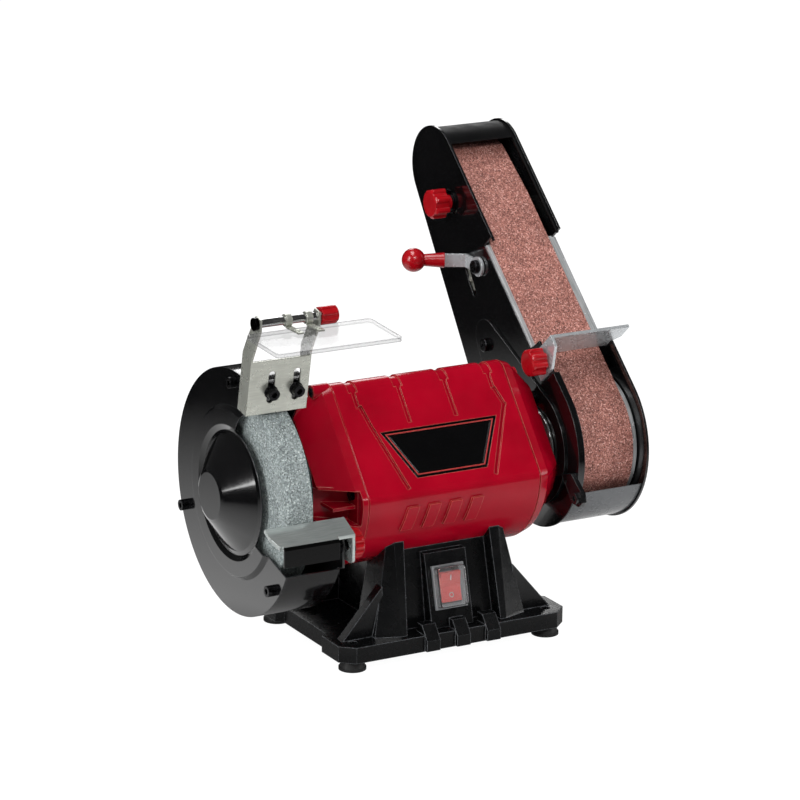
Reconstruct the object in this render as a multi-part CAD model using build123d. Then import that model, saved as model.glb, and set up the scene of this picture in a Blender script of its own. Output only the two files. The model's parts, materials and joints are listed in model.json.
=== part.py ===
from build123d import *
import math
import os

os.makedirs("parts", exist_ok=True)

# Bench grinder with a belt sanding arm. Millimetres.
# X runs from the grinding wheel to the belt, Y to the back, Z up.
# The origin is the centre of the bench bolt pattern, on the bench.

# --- driving dimensions ---------------------------------------------------
AXIS_H = 124.5            # motor axis above the bench
FOOT_X, FOOT_Y = 80.0, 58.0
PLATE_Z0, PLATE_Z1 = 7.5, 19.5
BOLT_R = 3.3              # bench bolt clearance radius
BODY_HALF = 70.5          # half length of the motor barrel
BODY_Y = 63.5             # barrel half width, also the radius of its lower half
BODY_APEX = 76.0          # apex of the slanted faces above the axis
WALL = 3.0
WHEEL_R, WHEEL_X0, WHEEL_X1 = 75.0, -141.0, -121.0
GUARD_R = 89.3
ARM_TILT = 48.5           # arm above the horizontal, at rest
ARM_R, ARM_TOP_R = 61.1, 32.6
ARM_LEN = 235.5           # drum centre to the centre of the rounded top
BELT_X0, BELT_X1 = 107.4, 157.4
DRUM_R, IDLER_R, BELT_T = 49.0, 19.0, 1.0
IDLER_S = 232.5           # drum centre to idler centre
PLATEN_S, PLATEN_W = 192.0, 24.6


# --- helpers --------------------------------------------------------------
def node(shape, name):
    """Write one node of the object."""
    export_step(shape, f"parts/{name}.step")


def prism(sketch, x0, x1):
    """Extrude a sketch drawn in (y, z) from x0 to x1."""
    return extrude(Plane.YZ.offset(x0) * sketch, amount=x1 - x0)


def rod(x0, x1, r, y=0.0, z=0.0, bore=0.0):
    """Cylinder or ring along X."""
    sk = Circle(r)
    if bore > 0:
        sk = sk - Circle(bore)
    return prism(Pos(y, z) * sk, x0, x1)


def poly(*points):
    """Closed polygon face."""
    return make_face(Polyline(*points, close=True))


def block(x0, x1, y0, y1, z0, z1):
    """Box between two corners."""
    return Pos((x0 + x1) / 2, (y0 + y1) / 2, (z0 + z1) / 2) * Box(x1 - x0, y1 - y0, z1 - z0)


def on_axis(shape):
    """Lift a shape drawn about the motor axis to its height."""
    return Pos(0, 0, AXIS_H) * shape


def on_arm(shape):
    """Turn a shape drawn in arm coordinates (y along the arm, z to its front) into place."""
    return Pos(0, 0, AXIS_H) * Rot(ARM_TILT, 0, 0) * shape


def slot_face(y, z, length, r, angle=0.0):
    """Obround face centred on (y, z)."""
    return Pos(y, z) * Rot(0, 0, angle) * SlotCenterToCenter(length, 2 * r)


def socket_screw(x0, x1, head_x, r, head_r, y, z, grip=2.2):
    """Cap screw along X, shank x0..x1, head from the outer end of the shank to head_x."""
    left = head_x < x0
    shank = rod(x0, x1, r, y, z)
    h0, h1 = (head_x, x0) if left else (x1, head_x)
    head = rod(h0, h1, head_r, y, z)
    hexagon = Pos(y, z) * RegularPolygon(grip, 6)
    k0, k1 = (h0, h0 + 2.5) if left else (h1 - 2.5, h1)
    return shank + head - prism(hexagon, k0, k1)


def star_knob(x0, x1, r, y, z, lobes=8, out=-1):
    """Ribbed hand knob along X, rounded at its outer end (out is -1 or 1)."""
    face = Circle(r * 0.84)
    for i in range(lobes):
        a = 2 * math.pi * i / lobes
        face += Pos(0.77 * r * math.cos(a), 0.77 * r * math.sin(a)) * Circle(0.23 * r)
    body = prism(Pos(y, z) * face, x0, x1)
    dome = rod(x0, x1, r + 0.05)
    rims = dome.edges().filter_by(GeomType.CIRCLE).sort_by(Axis.X)
    dome = fillet(rims[0] if out < 0 else rims[-1], min(3.2, 0.32 * r))
    return body & (Pos(0, y, z) * dome)


# --- base -----------------------------------------------------------------
PANEL_TILT = 14.5
SWITCH_Y, SWITCH_Z = -54.6, 48.2


def on_switch(shape):
    """Place a shape drawn on the switch face (x across, y up the face, z out of it)."""
    return Pos(0, SWITCH_Y, SWITCH_Z) * Rot(90 - PANEL_TILT, 0, 0) * shape


def plate_outline(inset=0.0):
    """Plan of the base plate: four ears, slightly necked sides, chamfered corners."""
    k = inset
    quarter = [(83 - k, -70 + k), (93 - k, -61 + k), (93 - k, -36 - k), (88 - k, -31 - k)]
    right = quarter + [(x, -y) for x, y in reversed(quarter)]
    return poly(*(right + [(-x, -y) for x, y in right]))


def saddle_slab(sx, sy):
    """One of the four upright slabs that carry the barrel, its flank spreading to the plate."""
    low = [(38.7, 64), (43.5, 64), (62, 58), (62, 30), (38.7, 30)]
    top = [(35, 50), (43, 50), (47, 47), (47, 26), (35, 26)]
    if sx * sy < 0:
        low, top = low[::-1], top[::-1]
    bottom = Plane.XY.offset(19.0) * poly(*[(sx * x, sy * y) for x, y in low])
    upper = Plane.XY.offset(90.0) * poly(*[(sx * x, sy * y) for x, y in top])
    return loft([bottom, upper])


def base_casting():
    tray = extrude(Plane.XY.offset(PLATE_Z0) * plate_outline(), amount=PLATE_Z1 - PLATE_Z0)
    tray -= extrude(Plane.XY.offset(PLATE_Z0) * plate_outline(4.0), amount=8.0)
    core = prism(poly((-52, 18), (-41, 82), (41, 82), (52, 18)), -44, 44)
    box = prism(poly((-61.85, 20), (-48.15, 73), (-38, 73), (-38, 20)), -17, 17)
    body = tray + core + box
    for sx in (-1, 1):
        for sy in (-1, 1):
            body += saddle_slab(sx, sy)
            gusset = Plane.XZ.offset(-sy * 54) * poly((sx * 54, 19), (sx * 54, 56), (sx * 86, 19))
            body += extrude(gusset, amount=8.0 * sy)
            body += Pos(sx * FOOT_X, sy * FOOT_Y, (PLATE_Z0 + PLATE_Z1) / 2) * Cylinder(
                8.5, PLATE_Z1 - PLATE_Z0)
            body += Pos(sx * 56, sy * 44, 12.5) * Cylinder(5.0, 7.0)
    for x in (-22, 3, 28):
        bracket = poly((-73.0, 8), (-73.0, 16), (-65, 26), (-58, 26), (-58, 19), (-65.8, 19), (-65.8, 8))
        body += prism(bracket, x - 5.5, x + 5.5)
    hollow = prism(poly((-47, 8), (-37, 60), (37, 60), (47, 8)), -38, 38)
    body -= hollow
    body -= on_axis(rod(-90, 90, BODY_Y))
    body -= on_switch(Pos(0, 0, -10) * Box(20.8, 27.4, 30))
    for sx in (-1, 1):
        for sy in (-1, 1):
            body -= Pos(sx * FOOT_X, sy * FOOT_Y, 13) * Cylinder(BOLT_R, 20)
            body -= Pos(sx * 56, sy * 44, 10.5) * Cylinder(1.6, 8.0)
    body -= Pos(-60, 68, 14.0) * Rot(90, 0, 0) * Cylinder(4.6, 12.0)
    body -= Pos(0, 0, 66) * Cylinder(6.0, 20.0)
    return body


def base_bottom_plate():
    sheet = extrude(Plane.XY.offset(PLATE_Z0) * plate_outline(4.4), amount=1.4)
    for sx in (-1, 1):
        for sy in (-1, 1):
            sheet -= Pos(sx * FOOT_X, sy * FOOT_Y, PLATE_Z0) * Cylinder(9.0, 6)
            sheet -= Pos(sx * 56, sy * 44, PLATE_Z0) * Cylinder(1.9, 6)
    for i in range(5):
        sheet -= Pos(-20 + 10 * i, 0, PLATE_Z0) * Box(4, 40, 6)
    return sheet


def bottom_screws():
    out = []
    for sx in (-1, 1):
        for sy in (-1, 1):
            shank = Pos(sx * 56, sy * 44, 10.3) * Cylinder(1.5, 8.0)
            head = Pos(sx * 56, sy * 44, 6.6) * Cylinder(3.0, 1.6)
            cross = Pos(sx * 56, sy * 44, 6.0) * (Box(3.2, 0.8, 0.9) + Box(0.8, 3.2, 0.9))
            out.append(shank + head - cross)
    return out


def rubber_feet():
    foot = Pos(0, 0, 3.75) * Cone(9.8, 8.0, 7.5)
    foot += Pos(0, 0, 1.0) * Cylinder(10.0, 2.0)
    foot -= Pos(0, 0, 3.75) * Cylinder(BOLT_R, 12)
    return Compound([Pos(sx * FOOT_X, sy * FOOT_Y, 0) * foot for sx in (-1, 1) for sy in (-1, 1)])


def cord_gland():
    """Empty strain-relief gland in the back edge of the plate."""
    gland = Pos(-60, 67.0, 14.0) * Rot(90, 0, 0) * Cylinder(4.55, 7.0)
    gland += Pos(-60, 73.0, 14.0) * Rot(90, 0, 0) * Cylinder(5.4, 5.5)
    return gland - Pos(-60, 70, 14.0) * Rot(90, 0, 0) * Cylinder(3.2, 20)


def switch_bezel():
    frame = Pos(0, 0, 1.0) * Box(26, 32, 2.0)
    frame += Pos(0, 0, -8.0) * Box(20.4, 27, 16)
    frame -= Pos(0, 0, -2.0) * Box(17.2, 24.2, 12.0)
    frame -= Pos(0, 0, 1.75) * (Box(24.0, 30.0, 0.6) - Box(21.4, 27.4, 0.8))
    return on_switch(frame)


def switch_rocker():
    """Rocker shown tilted to its off side; it turns about the cross axis of the switch."""
    side = poly((-11.2, 1.2), (-10.8, 4.2), (0, 2.6), (10.8, 4.2), (11.2, 1.2), (7.5, -5.5), (-7.5, -5.5))
    cap = extrude(Plane.YZ.offset(-8.0) * side, amount=16.0)
    cap += rod(-8.5, 8.5, 1.6)
    return on_switch(Rot(7, 0, 0) * cap)


def switch_cover():
    shell = Pos(0, 0, 5.0) * Box(23.6, 29.6, 6.6)
    shell = fillet(shell.edges().filter_by(Axis.Z), 3.0)
    shell = fillet(shell.faces().sort_by(Axis.Z)[-1].edges(), 2.0)
    inner = Pos(0, 0, 4.3) * Box(21.6, 27.6, 6.2)
    shell -= inner
    return on_switch(Pos(0, 0, -0.2) * shell)


# --- motor ----------------------------------------------------------------
SLANT = math.degrees(math.atan2(BODY_APEX, BODY_Y))
BELL_L, BELL_R = -99.0, 95.0
BOSS_Z = {-1: 65.0, 1: 57.0}   # height of the case screws above the axis, left and right


def on_slant(shape):
    """Place a shape drawn on the front slanted face (x along, y up the slope, z out of it)."""
    return Pos(0, -BODY_Y, AXIS_H) * Rot(SLANT, 0, 0) * shape


def motor_section(inset=0.0, scale_to=1.0):
    """Barrel section: half circle below, two slanted faces and a rounded apex above."""
    r = (BODY_Y - inset) * scale_to
    apex = (BODY_APEX - 1.55 * inset) * scale_to
    roof = poly((-r, 0), (0, apex), (r, 0))
    roof = fillet(roof.vertices().sort_by(Axis.Y)[-1], max(12.0 * scale_to - inset, 2.0))
    section = roof + (Circle(r) - Pos(0, 2 * r) * Rectangle(4 * r, 4 * r))
    ridges = section.vertices().filter_by(lambda v: abs(v.Y) < 0.01)
    return fillet(ridges, max(8.0 * scale_to - inset, 2.0))


def bell_shell(x_in, x_out):
    """Tapered end bell, hollow, closed at its outer end."""
    step = 1 if x_out > x_in else -1
    stations = [(x_in, 1.0), (x_in + 7 * step, 0.965), (x_out, 0.70)]
    outer = loft([Plane.YZ.offset(x) * motor_section(0, k) for x, k in stations[:2]])
    outer += loft([Plane.YZ.offset(x) * motor_section(0, k) for x, k in stations[1:]])
    inner = loft([Plane.YZ.offset(x_in) * motor_section(WALL, 1.0),
                  Plane.YZ.offset(x_out - 6 * step) * motor_section(WALL, 0.74)])
    return outer - inner


def slant_groove(x0, y0, x1, y1, width=3.0, depth=1.6):
    """Shallow groove on the slanted face between two points."""
    length = math.hypot(x1 - x0, y1 - y0)
    turn = math.degrees(math.atan2(y1 - y0, x1 - x0))
    return Pos((x0 + x1) / 2, (y0 + y1) / 2, 0) * Rot(0, 0, turn) * Box(length + width, width, 2 * depth)


BADGE = [(-44.5, 50.0), (51.0, 50.0), (30.0, 12.0), (-27.5, 12.0)]


def badge_face(shrink=0.0):
    return offset(poly(*BADGE[::-1]), -shrink) if shrink else poly(*BADGE[::-1])


def motor_housing():
    outer = prism(motor_section(), -BODY_HALF, BODY_HALF)
    ends = outer.faces().sort_by(Axis.X)
    outer = chamfer(ends[0].edges() + ends[-1].edges(), 0.9)
    body = on_axis(outer - prism(motor_section(WALL), -BODY_HALF, BODY_HALF))
    marks = [(-53, 71, -50, 56), (-50, 56, -37, 6), (57, 71, 60.5, 58), (60.5, 58, 35.5, 7)]
    for m in marks:
        body -= on_slant(slant_groove(*m))
    for x in (-55, -18.5, 19.5, 56):
        body -= on_slant(slant_groove(x, 72 if abs(x) > 30 else 56, x, 84, 3.0, 1.2))
        arch = prism(motor_section() - offset(motor_section(), -1.2), x - 3.5, x + 3.5)
        body -= on_axis(arch) & block(-80, 80, -10, 10, 180, 210)
    body -= on_slant(extrude(badge_face(), amount=2.4, both=True) & Pos(0, 30, 0) * Box(200, 100, 2.0))
    for i in range(4):
        pad = poly((-39 + 17.5 * i, -9), (-30 + 17.5 * i, -9), (-34 + 17.5 * i, -27), (-43 + 17.5 * i, -27))
        raised = extrude(Plane.XZ.offset(40) * pad, amount=30)
        shell = prism(offset(motor_section(), 2.0) - motor_section(0.2), -60, 60)
        body += on_axis(raised & shell)
    for x0, x1 in ((-BODY_HALF, -58.0), (58.0, BODY_HALF)):
        z = BOSS_Z[-1 if x0 < 0 else 1]
        boss = rod(x0, x1, 7.0, 0, z - 2.0) & prism(motor_section(0.5), -80, 80)
        body += on_axis(boss)
        body -= on_axis(rod(x0 - 1, x1 + 1, 1.68, 0, z))
    body -= Pos(0, 0, 58) * Cylinder(6.0, 20.0)
    return body


def left_end_bell():
    bell = on_axis(bell_shell(-BODY_HALF, BELL_L))
    pocket = on_axis(loft([
        Plane.YZ.offset(-BODY_HALF - 4) * poly((-64, -19), (-40, -19), (-40, 6), (-64, 6)),
        Plane.YZ.offset(BELL_L - 1) * poly((-50, -17), (-27, -17), (-27, 6), (-50, 6))]))
    floor = on_axis(loft([
        Plane.YZ.offset(-BODY_HALF) * poly((-56, -21), (-38, -21), (-38, 8), (-56, 8)),
        Plane.YZ.offset(BELL_L) * poly((-40, -19), (-25, -19), (-25, 8), (-40, 8))]))
    solid = on_axis(prism(motor_section(0.4, 1.0), -BODY_HALF, BELL_L))
    bell += floor & solid & block(BELL_L, -BODY_HALF, -60, 0, 60, 200)
    bell -= pocket
    bell += on_axis(block(-92, -BODY_HALF, -50, -31, -8.5, -6))
    bell += on_axis(rod(-84, -BODY_HALF, 5.4, 0, BOSS_Z[-1]))
    bell -= on_axis(rod(-85, -70, 1.7, 0, BOSS_Z[-1]) + rod(-100, -81.0, 3.9, 0, BOSS_Z[-1]))
    bell -= on_axis(rod(-75, -70.0, 1.62, -46.5, 0.4))
    bell += on_axis(rod(BELL_L, -86, 20, 0, 0))
    bell -= on_axis(rod(BELL_L - 1, -80, 14.0))
    bell += on_axis(rod(BELL_L, -97.0, 14.5, bore=8.0))
    for a in (90, 210, 330):
        y, z = 27 * math.cos(math.radians(a)), 27 * math.sin(math.radians(a))
        bell += on_axis(rod(BELL_L - 3.5, -92, 5.0, y, z))
        bell -= on_axis(rod(BELL_L - 4, -90, 1.9, y, z))
    return bell


def right_end_bell():
    bell = on_axis(bell_shell(BODY_HALF, BELL_R))
    bell += on_axis(rod(BODY_HALF, 84, 5.4, 0, BOSS_Z[1]))
    bell -= on_axis(rod(70, 85, 1.7, 0, BOSS_Z[1]) + rod(81.0, 100, 3.9, 0, BOSS_Z[1]))
    bell += on_axis(rod(82, BELL_R, 20, 0, 0))
    bell -= on_axis(rod(80, BELL_R + 1, 14.0))
    bell += on_axis(rod(93.0, BELL_R, 14.5, bore=8.0))
    for a in (90, 210, 330):
        y, z = 27 * math.cos(math.radians(a)), 27 * math.sin(math.radians(a))
        bell += on_axis(rod(90, BELL_R + 5.0, 4.0, y, z))
        bell -= on_axis(rod(89, BELL_R + 6, 1.9, y, z))
    return bell


def housing_screws():
    """Long and short screws that hold the two bells."""
    out = []
    for side in (-1, 1):
        z = BOSS_Z[side]
        x_in, x_out = side * 67.0, side * 81.0
        shank = on_axis(rod(min(x_in, x_out), max(x_in, x_out), 1.65, 0, z))
        h0, h1 = (x_out, x_out + 2.6) if side > 0 else (x_out - 2.6, x_out)
        head = on_axis(rod(h0, h1, 3.6, 0, z))
        k0, k1 = (h1 - 1.2, h1) if side > 0 else (h0, h0 + 1.2)
        cut = block(k0, k1, -2.4, 2.4, z - 0.4, z + 0.4)
        cut += block(k0, k1, -0.4, 0.4, z - 2.4, z + 2.4)
        out.append(shank + head - on_axis(cut))
    side_screw = on_axis(rod(-77.2, -74.5, 3.4, -46.5, 0.4) + rod(-74.5, -71.0, 1.6, -46.5, 0.4))
    out.append(side_screw)
    return out


def badge_plate():
    inner = offset(badge_face(0.3), -2.6) - offset(badge_face(0.3), -3.6)
    plate = extrude(badge_face(0.15), amount=-0.95)
    return on_slant(plate - extrude(inner, amount=-0.35))



def stator_core():
    core = rod(-32, 32, 44.0, bore=25.0)
    for i in range(18):
        a = math.radians(20 * i)
        slot = Pos(31 * math.cos(a), 31 * math.sin(a)) * Rot(0, 0, 20 * i) * Rectangle(11, 4.6)
        core -= prism(slot, -33, 33)
    return on_axis(core)


def stator_windings():
    turns = rod(-46, -32, 37.0, bore=26.5) + rod(32, 46, 37.0, bore=26.5)
    for i in range(18):
        a = math.radians(20 * i)
        slot = Pos(31 * math.cos(a), 31 * math.sin(a)) * Rot(0, 0, 20 * i) * Rectangle(10, 4.2)
        turns += prism(slot, -32.5, 32.5)
    return on_axis(turns)


def rotor_core():
    core = rod(-33, 33, 24.6, bore=8.0)
    core += rod(-39, -33, 22.5, bore=15.0) + rod(33, 39, 22.5, bore=15.0)
    for i in range(20):
        a = math.radians(18 * i)
        core -= prism(Pos(24.6 * math.cos(a), 24.6 * math.sin(a)) * Circle(0.9), -33, 33)
    return on_axis(core)


def motor_shaft():
    body = rod(-85, 84, 8.0) + rod(-150.5, -85, 6.0) + rod(84, 161, 6.0)
    for x in (-97.2, 93.2):
        body -= rod(x - 0.3, x + 0.3, 7.0, bore=5.7) if x < 0 else rod(x, x + 0.5, 7.0, bore=5.7)
    return on_axis(body)


def ball_bearing(x0, x1):
    outer = rod(x0, x1, 14.0, bore=11.6)
    inner = rod(x0, x1, 8.4, bore=6.0)
    shields = rod(x0 + 0.4, x0 + 0.9, 11.6, bore=8.8) + rod(x1 - 0.9, x1 - 0.4, 11.6, bore=8.8)
    return outer + shields, inner


def cooling_fan():
    fan = rod(52, 54, 38.0, bore=8.0) + rod(48, 60, 12.0, bore=8.0)
    for i in range(9):
        blade = Pos(25, 0) * Rot(0, 0, 18) * Rectangle(24, 1.6)
        fan += prism(Rot(0, 0, 40 * i) * blade, 53, 62)
    return on_axis(fan)


def run_capacitor():
    can = Pos(0, 8, 40) * Rot(0, 90, 0) * Cylinder(12.0, 56.0)
    can += Pos(30, 8, 40) * Rot(0, 90, 0) * Cylinder(3.0, 6.0)
    strap = Pos(0, 8, 40) * Rot(0, 90, 0) * (Cylinder(13.2, 8.0) - Cylinder(12.0, 9.0))
    return can + strap


# --- grinding side --------------------------------------------------------
GUARD_SCREWS = [(-2.0, 81.4), (75.4, -30.6), (-60.0, -55.0)]
REST_Y, REST_Z = -82.0, 103.0
BRACKET_Y, BRACKET_Z = -38.0, 191.5
BRACKET_LEAN = 11.0       # the bracket leans forward by this angle
BRACKET_BOLTS = (-136.9, -117.3)
BOLT_V = 16.8             # bolts above the lower edge of the bracket
ROD_Y, ROD_Z = -55.0, 262.0
SHEET_TILT = 3.0          # the shield hangs down towards its front edge by this angle
LEAN = math.radians(BRACKET_LEAN)
ROD_U = (ROD_Y - BRACKET_Y) * math.cos(LEAN) + (ROD_Z - BRACKET_Z) * math.sin(LEAN)
ROD_V = (ROD_Z - BRACKET_Z) * math.cos(LEAN) - (ROD_Y - BRACKET_Y) * math.sin(LEAN)


def opening(keep_r):
    """Working opening of the guard in (y, z) about the axis, around a kept inner disc."""
    return poly((-6.5, 46), (-37.0, 93), (-130, 93), (-130, -54.5), (-36.2, -27.3)) - Circle(keep_r)


def on_bracket(shape):
    """Place a shape drawn on the leaning bracket (y out of its back, z up its face)."""
    return Pos(0, BRACKET_Y, BRACKET_Z) * Rot(BRACKET_LEAN, 0, 0) * shape


def guard_outer_cover():
    """Stamped cover: flat ring, raised annulus, cone and flat centre."""
    t = 1.2
    outer = [(GUARD_R, -145.0), (63.0, -145.0), (60.0, -148.2), (49.0, -148.2), (45.0, -146.2),
             (42.0, -147.2), (19.5, -163.0), (17.0, -164.0), (0.0, -164.0)]
    inner = [(r, x + t) for r, x in reversed(outer)]
    section = Plane.XZ * make_face(Polyline(*[(x, r) for r, x in outer + inner], close=True))
    cover = revolve(section, Axis.X, 360)
    cover -= prism(opening(47.0), -170, -140)
    for y, z in GUARD_SCREWS:
        cover -= rod(-146, -143, 2.2, y, z)
    return on_axis(cover)


def guard_inner_shell():
    """Back plate, rim band and the folded tab that carries the shield bracket."""
    plate = rod(-104.0, -102.5, GUARD_R, bore=12.0) - prism(opening(40.0), -106, -100)
    for a in (90, 210, 330):
        plate -= rod(-106, -100, 2.2, 27 * math.cos(math.radians(a)), 27 * math.sin(math.radians(a)))
    band = rod(-143.8, -104.0, GUARD_R, bore=GUARD_R - 1.3) - prism(opening(40.0), -150, -100)
    ear = prism(poly((-86.6, -37), (-86.6, -14.5), (-74, -14.5), (-66, -46), (-79, -39)), -104.0, -102.5)
    ear -= rod(-106, -100, 3.1, REST_Y, REST_Z - AXIS_H)
    lugs = None
    for y, z in GUARD_SCREWS:
        lug = rod(-143.8, -134.0, 4.4, y, z)
        foot_y, foot_z = y * 87.5 / math.hypot(y, z), z * 87.5 / math.hypot(y, z)
        arm = prism(Pos((y + foot_y) / 2, (z + foot_z) / 2)
                    * Rot(0, 0, math.degrees(math.atan2(z, y))) * Rectangle(8.5, 5.0), -143.8, -134.0)
        lug = (lug + arm) - rod(-145, -132, 1.75, y, z)
        lugs = lug if lugs is None else lugs + lug
    tab = on_bracket(block(-143, -112.5, 1.5, 5.0, 6.0, 23.5))
    web = prism(poly((-36.5, 79.0), (-36.5, 82.5), (-27.0, 85.1), (-27.0, 83.6)), -143, -112.5)
    shell = on_axis(plate + band + ear + lugs + web) + tab
    for x in BRACKET_BOLTS:
        shell -= on_bracket(Pos(x, 0, BOLT_V) * Rot(90, 0, 0) * Cylinder(2.42, 14))
    return shell


def guard_screws():
    out = [on_axis(socket_screw(-145.0, -134.5, -150.0, 1.7, 4.0, y, z)) for y, z in GUARD_SCREWS]
    for a in (90, 210, 330):
        y, z = 27 * math.cos(math.radians(a)), 27 * math.sin(math.radians(a))
        out.append(on_axis(socket_screw(-104.0, -91.0, -107.0, 1.85, 3.6, y, z, 1.8)))
    return Compound(out)


def grinding_wheel():
    wheel = rod(WHEEL_X0, WHEEL_X1, WHEEL_R, bore=6.02)
    rim = wheel.edges().filter_by(GeomType.CIRCLE).sort_by(SortBy.LENGTH)[-2:]
    return on_axis(fillet(rim, 0.8))



def inner_flange():
    return on_axis(rod(-121.0, -118.0, 27.0, bore=6.02) - rod(-121.0, -120.4, 21.0, bore=6.02)
                   + rod(-118.0, -97.0, 7.6, bore=6.02))


def outer_flange():
    return on_axis(rod(-144.0, -141.0, 27.0, bore=6.02) - rod(-141.6, -141.0, 21.0, bore=6.02))


def shaft_nuts():
    """Identical nuts at the two ends of the shaft."""
    hexagon = RegularPolygon(10.4, 6) - Circle(6.02)
    return Compound([on_axis(prism(hexagon, x, x + 5.0)) for x in (-149.0, 155.0)])


def shield_bracket():
    """U bracket with two slots; its side arms carry the rod."""
    x0, x1, t = -154.5, -107.5, 1.5
    face = block(x0, x1, 0, t, 0, 41.0)
    for x in BRACKET_BOLTS:
        face -= Pos(x, 0, 20.2) * Rot(90, 0, 0) * extrude(
            SlotCenterToCenter(19.0, 5.4, rotation=90), amount=6, both=True)
    cheek = poly((0, 0), (0, 43), (ROD_U - 5.0, ROD_V - 4.0), (ROD_U - 4.0, ROD_V + 4.4),
                 (ROD_U + 3.4, ROD_V + 4.4), (8.5, 58.0), (13.5, 44.0), (13.5, 0))
    left = prism(cheek, x0, x0 + t)
    right = prism(cheek, x1 - t, x1) - block(x1 - 3, x1 + 1, 1.5, 20, -2, 29)
    return on_bracket(face + left + right) - rod(x0 - 1, x1 + 1, 3.05, ROD_Y, ROD_Z)


def bracket_bolts():
    out = []
    for x in BRACKET_BOLTS:
        shank = Pos(x, 0.2, BOLT_V) * Rot(90, 0, 0) * Cylinder(2.4, 8.6)
        washer = Pos(x, -0.6, BOLT_V) * Rot(90, 0, 0) * Cylinder(5.0, 1.1)
        head = Pos(x, -3.6, BOLT_V) * Rot(90, 0, 0) * Cylinder(4.2, 5.0)
        hexagon = Pos(x, -6.2, BOLT_V) * Rot(90, 0, 0) * extrude(RegularPolygon(2.3, 6), amount=2.4, both=True)
        out.append(on_bracket(shank + washer + head - hexagon))
    return Compound(out)


def shield_rod():
    body = rod(-157.5, -95.0, 3.0, ROD_Y, ROD_Z) + rod(-157.5, -154.8, 4.6, ROD_Y, ROD_Z)
    return body


def eye_shield():
    sheet = fillet(Box(97.0, 47.0, 2.8).edges().filter_by(Axis.Z), 3.5)
    return Pos(-117.5, -61.0, 256.0) * Rot(SHEET_TILT, 0, 0) * Pos(0, -22.5, -0.4) * sheet


def shield_clips():
    """Two bent clips that hang the shield from the rod."""
    out = []
    for x in (-131.5, -115.5):
        ring = rod(x - 2.2, x + 2.2, 4.4, ROD_Y, ROD_Z, bore=3.05)
        tongue = block(x - 2.2, x + 2.2, -76.0, ROD_Y - 2.0, 257.0, 258.2)
        rivet = Pos(x, -71.0, 258.6) * Cylinder(1.7, 0.9)
        out.append(ring + tongue + rivet)
    return Compound(out)


def shield_knob():
    return star_knob(-106.5, -93.5, 6.6, ROD_Y, ROD_Z, 7, 1) - rod(-108, -94.8, 3.02, ROD_Y, ROD_Z)


def tool_rest():
    """Folded rest: sloping table, front apron and a slotted tab at its right end."""
    profile = poly((-77.0, 121.5), (-95.5, 113.0), (-97.5, 111.0), (-97.5, 98.5), (-95.5, 98.5), (-95.5, 110.3),
                   (-77.0, 119.0))
    rest = prism(profile, -160.5, -112.0)
    rest -= block(-170, -155.0, -99, -94, 90, 118)
    rest -= Pos(-161.0, -97.0, 110) * Rot(0, 0, 18) * Box(8, 40, 40)
    strip = poly((-77.0, 121.5), (-93.4, 113.96), (-93.4, 111.29), (-77.0, 119.0))
    rest += prism(strip, -112.5, -98.0)
    tab = prism(poly((-72.0, 119.0), (-77.0, 121.5), (-93.4, 113.96), (-93.4, 92.0), (-72.0, 92.0)), -100.0, -98.0)
    tab = fillet(tab.edges().filter_by(Axis.X).sort_by(Axis.Z)[:2], 3.0)
    return rest + tab - prism(slot_face(REST_Y + 0.6, REST_Z, 7.2, 3.1), -101, -97)


def tool_rest_screw():
    screw = rod(-104.8 - 4.4, -104.0 - 0.8, 4.4, REST_Y, REST_Z) + rod(-104.8, -104.0, 6.0, REST_Y, REST_Z)
    screw += rod(-104.0, -91.2, 2.9, REST_Y, REST_Z)
    screw += rod(-102.5, -100.3, 4.6, REST_Y, REST_Z)
    return screw - prism(Pos(REST_Y, REST_Z) * RegularPolygon(2.4, 6), -110, -106.6)


def tool_rest_knob():
    knob = star_knob(-96.8, -88.6, 11.0, REST_Y, REST_Z, 12, 1) + rod(-97.7, -96.8, 6.5, REST_Y, REST_Z)
    return knob - rod(-98, -91.0, 2.95, REST_Y, REST_Z)


# --- belt arm (arm coordinates: y along the arm, z towards its belt face) --
LEVER = (143.0, 14.0)
TRACK = (202.0, 8.0)
REST_S = 50.0
PIVOT_R = 22.0


def hull_face(circles):
    """Face bounded by the hull of circles given as (centre y, centre z, radius)."""
    edges = []
    for y, z, r in circles:
        edges += (Pos(y, z) * Circle(r)).edges()
    return make_hull(edges)


def arm_outline(inset=0.0):
    return hull_face([(0, 0, ARM_R - inset), (ARM_LEN, 0, ARM_TOP_R - inset)])


def belt_outline(out):
    """Closed belt path; out is measured from the inner face of the belt."""
    return hull_face([(0, 0, DRUM_R + out), (PLATEN_S, PLATEN_W, 3.0 + out), (IDLER_S, 0, IDLER_R + out)])


def front_window():
    """Part of the side plates cut down so that the platen edges show."""
    return poly((60, 20.0), (58, 70), (152, 70), (152, 20.0)) - belt_outline(-2.5)


def side_plate(x0, x1):
    plate = prism(arm_outline(), x0, x1)
    return plate - prism(front_window(), x0 - 1, x1 + 1)


def arm_left_plate():
    plate = side_plate(103.8, 105.4)
    lip = prism(arm_outline() - arm_outline(1.4), 105.4, 109.0)
    lip &= prism(poly((0, 0), (-78, 43), (-80, 90), (34, 90), (28, 30)), 100, 120)
    plate += lip
    lug = prism(poly((36, 40), (49.6, 40), (49.6, 62), (40, 62)), 103.8, 105.4)
    plate += lug
    plate -= rod(100, 110, PIVOT_R + 0.05)
    plate -= rod(100, 107, 2.2, *LEVER)
    plate -= prism(slot_face(142.0, -5.0, 20.0, 2.9, 8.0), 100, 107)
    plate -= prism(slot_face(TRACK[0], TRACK[1], 12.0, 4.2), 100, 107)
    plate -= rod(100, 107, 2.14, 42.0, 55.0)
    for y, z in ((90.6, -12.9), (28.5, 21.8), (20, -50), (212, -18)):
        plate -= rod(100, 107, 2.1, y, z)
    return on_arm(plate)


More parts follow.
